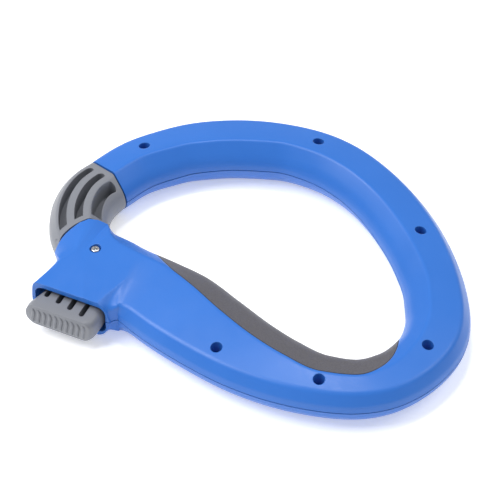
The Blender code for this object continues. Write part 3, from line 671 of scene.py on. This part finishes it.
class Gate:
    """The section of the gate at any station between the arm's end and the nose of the housing."""

    def __init__(self):
        outer, inner = [row[0] for row in GATE], [row[1] for row in GATE]
        self.knots = knots_of(outer, inner)
        self.outer, self.inner = cubic(outer, self.knots), cubic(inner, self.knots)

    def edges(self, t):
        outer, inner = np.append(self.outer(t), 0), np.append(self.inner(t), 0)
        return outer, inner, (inner - outer) / np.linalg.norm(inner - outer)

    def ring(self, t):
        outer, inner, across = self.edges(t)
        corners = [
            outer,
            outer + across * 0.45 + (0, 0, 2.6),
            outer + across * 3.2 + (0, 0, 6.7),
            inner - across * 7.2 + (0, 0, 9.9),
            inner - across * 1.3 + (0, 0, 4.4),
            inner - across * 0.3 + (0, 0, 1.8),
            inner,
        ]
        line = rounded(corners, [0, 0.8, 1.3, 1.0, 2.0, 0.8, 0], STEPS)
        flip = np.array([1, 1, -1])
        return [Vector((x, y, max(z, -LAND_Z))) for x, y, z in line + [p * flip for p in line[-2:0:-1]]]

    def slot_ring(self, t, near, far):
        outer, _, across = self.edges(t)
        a, b = Vector(outer + across * near), Vector(outer + across * far)
        low, high = Vector((0, 0, SLOT_FLOOR)), Vector((0, 0, 13))
        return [a + low, b + low, b + high, a + high]


def make_gate():
    """The gate with its pockets, its tongue, its hub on the sleeve and the finger that is pushed."""
    gate = Gate()
    last = gate.knots[-1]
    lever = object_of("moulded_gate", [gate.ring(t) for t in stations(gate.knots, 1.5)], here)
    at_face, at_seat = SLOT_MARGIN
    cutters = [cylinder("seat", here, (0, 0), SEAT_R, -FAR_OUT, FAR_OUT, sides=144)]
    round_end = at_face + POCKET_ROUND * (1 - np.cos(np.linspace(0.15, math.pi / 2, 8)))
    straight = np.linspace(at_face + POCKET_ROUND + 0.5, last, 24)
    for at_arm, at_nose in GATE_SLOTS:
        for side in (1, -1):
            rings = []
            for t in (*round_end, *straight):
                near, far = np.array(at_arm) + (np.array(at_nose) - at_arm) * t / last
                reach = min(1.0, (t - at_face) / POCKET_ROUND)
                pinch = (far - near) / 2 * (1 - math.sqrt(1 - (1 - reach) ** 2))
                rings.append(gate.slot_ring(t, near + pinch, far - pinch))
            pocket = object_of("pocket", rings, here, side)
            seat = cylinder("pocket_end", here, (0, 0), SEAT_R + at_seat, -FAR_OUT, FAR_OUT, sides=96)
            carve(pocket, seat)
            cutters.append(pocket)
    carve(lever, *cutters)

    tongue = arc(18.3, 76, 148, 15) + arc(4.2, 148, 76, 6)
    c, s = math.cos(FINGER_ANGLE), math.sin(FINGER_ANGLE)
    finger = [(r * c - h * s, r * s + h * c) for r, h in ((6, -2.3), (12.0, -2.3), (12.0, 2.3), (6, 2.3))]
    carve(
        lever,
        upright("tongue", tongue, TONGUE_HALF_HEIGHT),
        cylinder("hub", here, (0, 0), HUB_R, -HUB_HALF_HEIGHT, HUB_HALF_HEIGHT, sides=72),
        upright("finger", finger, DRIVE_HALF_HEIGHT),
        union=True,
    )
    ring = prism("spring_pocket", here, arc(7.2, 0, 350, 36), 0.9, 6)
    carve(ring, cylinder("spring_core", here, (0, 0), 3.9, -1, 8, sides=24))
    notch = prism("spring_leg_notch", here, arc(9.2, 174, 228, 8) + arc(6.4, 228, 174, 8), 3.5, 6)
    carve(lever, cylinder("bore", here, (0, 0), BORE_R, -FAR_OUT, FAR_OUT, sides=40), ring, notch)
    return lever


def make_button():
    """The button with its coring slots and its pusher; its front leaves room for the ribs."""
    levels = [-row[0] for row in BUTTON]
    levels[-1] -= RIB_HEIGHT
    shape = steady([row[1:] for row in BUTTON], levels)
    rings = []
    for level in stations(levels, 0.45):
        low, high, share = shape(level)
        rings.append(rounded_box(-level, (low, high), BUTTON_HALF_HEIGHT * share, BUTTON_CORNERS))
    button = object_of("moulded_button", rings, here)
    cutters = []
    for v, closed_u in BUTTON_SLOTS:
        outline = [(SLOT_BACK_U, v + SLOT_HALF_WIDTH), (SLOT_BACK_U, v - SLOT_HALF_WIDTH)]
        # The slot's closed end is round.
        for angle in np.radians(np.linspace(-90, 90, 13)):
            across = v + SLOT_HALF_WIDTH * math.sin(angle)
            outline.append((closed_u + SLOT_HALF_WIDTH * (1 - math.cos(angle)), across))
        plan = [push_xy(*p) for p in outline]
        cutters.append(prism("slot_above", here, plan, 1, 9))
        cutters.append(prism("slot_below", here, plan, -9, -1))
    carve(button, *cutters)
    tip = [(-16.0, 9.1), (-16.0, 12.5), (-5.6, 12.5), (-4.9, 11.8), (-4.7, 10.8), (-4.9, 9.8), (-5.6, 9.1)]
    carve(button, upright("pusher", [push_xy(*p) for p in tip], DRIVE_HALF_HEIGHT), union=True)
    return button


def make_ribs():
    """The ribs of the thumb's grip, each bowed a little into an S."""
    ribs = []
    front_u, low, high, _ = BUTTON[-1]
    first, last = low + 2.4, high - 1.9
    for n in range(RIB_COUNT):
        v = first + (last - first) * n / (RIB_COUNT - 1)
        rings = []
        for f in np.linspace(-1, 1, 21):
            z = f * RIB_HALF_LENGTH
            across = v + RIB_BOW * math.sin(math.pi * f)
            size = RIB_R * math.sqrt(max(0.0, 1 - f**4)) + 0.02
            ring = []
            for k in range(12):
                a = 2 * math.pi * k / 12
                height = RIB_HEIGHT * size / RIB_R * math.cos(a)
                x, y = push_xy(front_u + RIB_HEIGHT - height, across + size * math.sin(a))
                ring.append((x, y, z))
            rings.append(ring)
        ribs.append(object_of(f"thumb_rib_{n + 1}", rings, here))
    return ribs


def make_screw(name, centre, low, high, head_r=1.8):
    """A pan-headed screw's head with a cross recess, on a short run of its shank."""
    edge_r, edge_height, shank_r = 0.55, 0.45, 1.1
    crown = [(0.02, high)]
    for a in np.radians(np.linspace(90, 0, 9)):
        crown.append((head_r - edge_r + edge_r * math.cos(a), high - edge_height + edge_height * math.sin(a)))
    crown += [(head_r, low), (shank_r, low), (shank_r, low - 2)]
    rings = []
    for radius, z in crown:
        ring = []
        for k in range(48):
            a = 2 * math.pi * k / 48
            ring.append((centre[0] + radius * math.cos(a), centre[1] + radius * math.sin(a), z))
        rings.append(ring)
    made = object_of(name, rings, here)
    cutters = []
    arm, half_width = 1.15, 0.19
    for turn in (20, 110):
        a = math.radians(turn)
        c, s = math.cos(a), math.sin(a)
        outline = []
        for along, across in ((-arm, -half_width), (arm, -half_width), (arm, half_width), (-arm, half_width)):
            outline.append((centre[0] + along * c - across * s, centre[1] + along * s + across * c))
        cutters.append(prism("cross", here, outline, high - 0.7, high + 1))
    cutters.append(cylinder("cone", here, centre, 0.15, high - 1.0, high + 0.05, 24, top_radius=0.62))
    carve(made, *cutters)
    return made


here = bpy.data.collections.new("visual")
scene.collection.children.link(here)

blue = moulded("blue_abs", BLUE_FIRST, BLUE_SECOND, (0.31, 0.40), 0.35, 0.005, 0.45, specular=0.4)
grey = moulded("grey_abs", GREY_FIRST, GREY_SECOND, (0.36, 0.46), 0.45, 0.008, 0.4)
rubber = soft_rubber("soft_rubber")
steel = plated("zinc_steel", STEEL, 0.22)
spring_steel = plated("spring_steel", SPRING_STEEL, 0.3)

body = Body()
for name, side in (("upper_shell", 1), ("lower_shell", -1)):
    land = LAND_Z if side < 0 else None
    made = object_of(f"moulded_{name}", body_rings(body, PARTING_GAP, land), here, side)
    recess = [pad_ring(body, t, room=GAP, lift=1.5) for t in pad_stations(body, grow=3 * GAP)]
    carve(made, object_of("recess", recess, here), *shell_cutters(side))
    present(made, "housing", blue, "blue_plastic", name)
pad = object_of("moulded_grip_pad", [pad_ring(body, t) for t in pad_stations(body)], here)
present(pad, "housing", rubber, "soft_pad", "grip_pad", angle=50)
present(make_gate(), "gate", grey, "grey_plastic", "gate_lever")
present(make_button(), "button", grey, "grey_plastic", "thumb_button")
for rib in make_ribs():
    present(rib, "button", grey, "grey_plastic", angle=60)
made = make_screw("pivot_screw_head", (0, 0), *PIVOT_HEAD_Z, head_r=1.6)
present(made, "housing", steel, "steel", "pivot_screw")
for n, centre in enumerate(SCREWS, 1):
    made = make_screw(f"screw_head_{n}", centre, HEAD_SEAT_Z + GAP, HEAD_TOP_Z)
    present(made, "housing", steel, "steel", f"housing_screw_{n}")
for node, material in (("pivot_sleeve", steel), ("gate_spring", spring_steel)):
    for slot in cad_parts[node].material_slots:
        slot.material = material


# Floor, light and camera

VIEW_DEG = 11
ELEVATION_DEG = 46
CAMERA_AIM = (0.0008, 0.0067, 0.0096)
CAMERA_DISTANCE = 0.965
WORLD_STRENGTH = 0.42
FLOOR_REACH = 2.5
FLOOR_GLOW = 0.38
PAPER_FIRST, PAPER_SECOND = (0.93, 0.93, 0.93), (0.95, 0.95, 0.95)


def pale_floor():
    data = bpy.data.meshes.new("floor")
    far = FLOOR_REACH
    corners = [(-far, -far, 0), (far, -far, 0), (far, far, 0), (-far, far, 0)]
    data.from_pydata(corners, [], [(0, 1, 2, 3)])
    made = bpy.data.objects.new("floor", data)
    scene.collection.objects.link(made)
    paper = Shader("paper_floor", specular=0.2)
    colour = paper.colours(paper.noise(3, 3), PAPER_FIRST, PAPER_SECOND)
    paper.join(colour, paper.base, "Base Color")
    paper.base.inputs["Roughness"].default_value = 0.8
    paper.base.inputs["Emission Color"].default_value = (1, 1, 1, 1)
    paper.base.inputs["Emission Strength"].default_value = FLOOR_GLOW
    data.materials.append(paper.material)


def softbox(name, place_m, aim_m, size, watts):
    data = bpy.data.lights.new(name, "AREA")
    data.shape = "RECTANGLE"
    data.size, data.size_y = size
    data.energy = watts
    made = bpy.data.objects.new(name, data)
    made.location = place_m
    made.rotation_euler = (Vector(aim_m) - Vector(place_m)).to_track_quat("-Z", "Y").to_euler()
    scene.collection.objects.link(made)


def camera():
    data = bpy.data.cameras.new("camera")
    data.sensor_width = 36
    data.lens = 18 / math.tan(math.radians(VIEW_DEG / 2))
    made = bpy.data.objects.new("camera", data)
    scene.collection.objects.link(made)
    elevation = math.radians(ELEVATION_DEG)
    towards = Vector((0, -math.cos(elevation), math.sin(elevation)))
    made.location = Vector(CAMERA_AIM) + CAMERA_DISTANCE * towards
    made.rotation_euler = (math.radians(90 - ELEVATION_DEG), 0, 0)
    scene.camera = made


pale_floor()
camera()
softbox("key", (-0.75, 0.0, 1.0), (0, 0, 0), (0.8, 0.8), 12)
softbox("fill", (0.8, 0.15, 1.0), (0, 0, 0), (0.8, 0.6), 4)
softbox("top", (0.0, 0.18, 1.05), (0, -0.04, 0), (0.16, 0.16), 2.5)
world = bpy.data.worlds.new("studio")
world.use_nodes = True
world.node_tree.nodes["Background"].inputs["Color"].default_value = (1, 1, 1, 1)
world.node_tree.nodes["Background"].inputs["Strength"].default_value = WORLD_STRENGTH
scene.world = world
scene.view_settings.view_transform = "Standard"
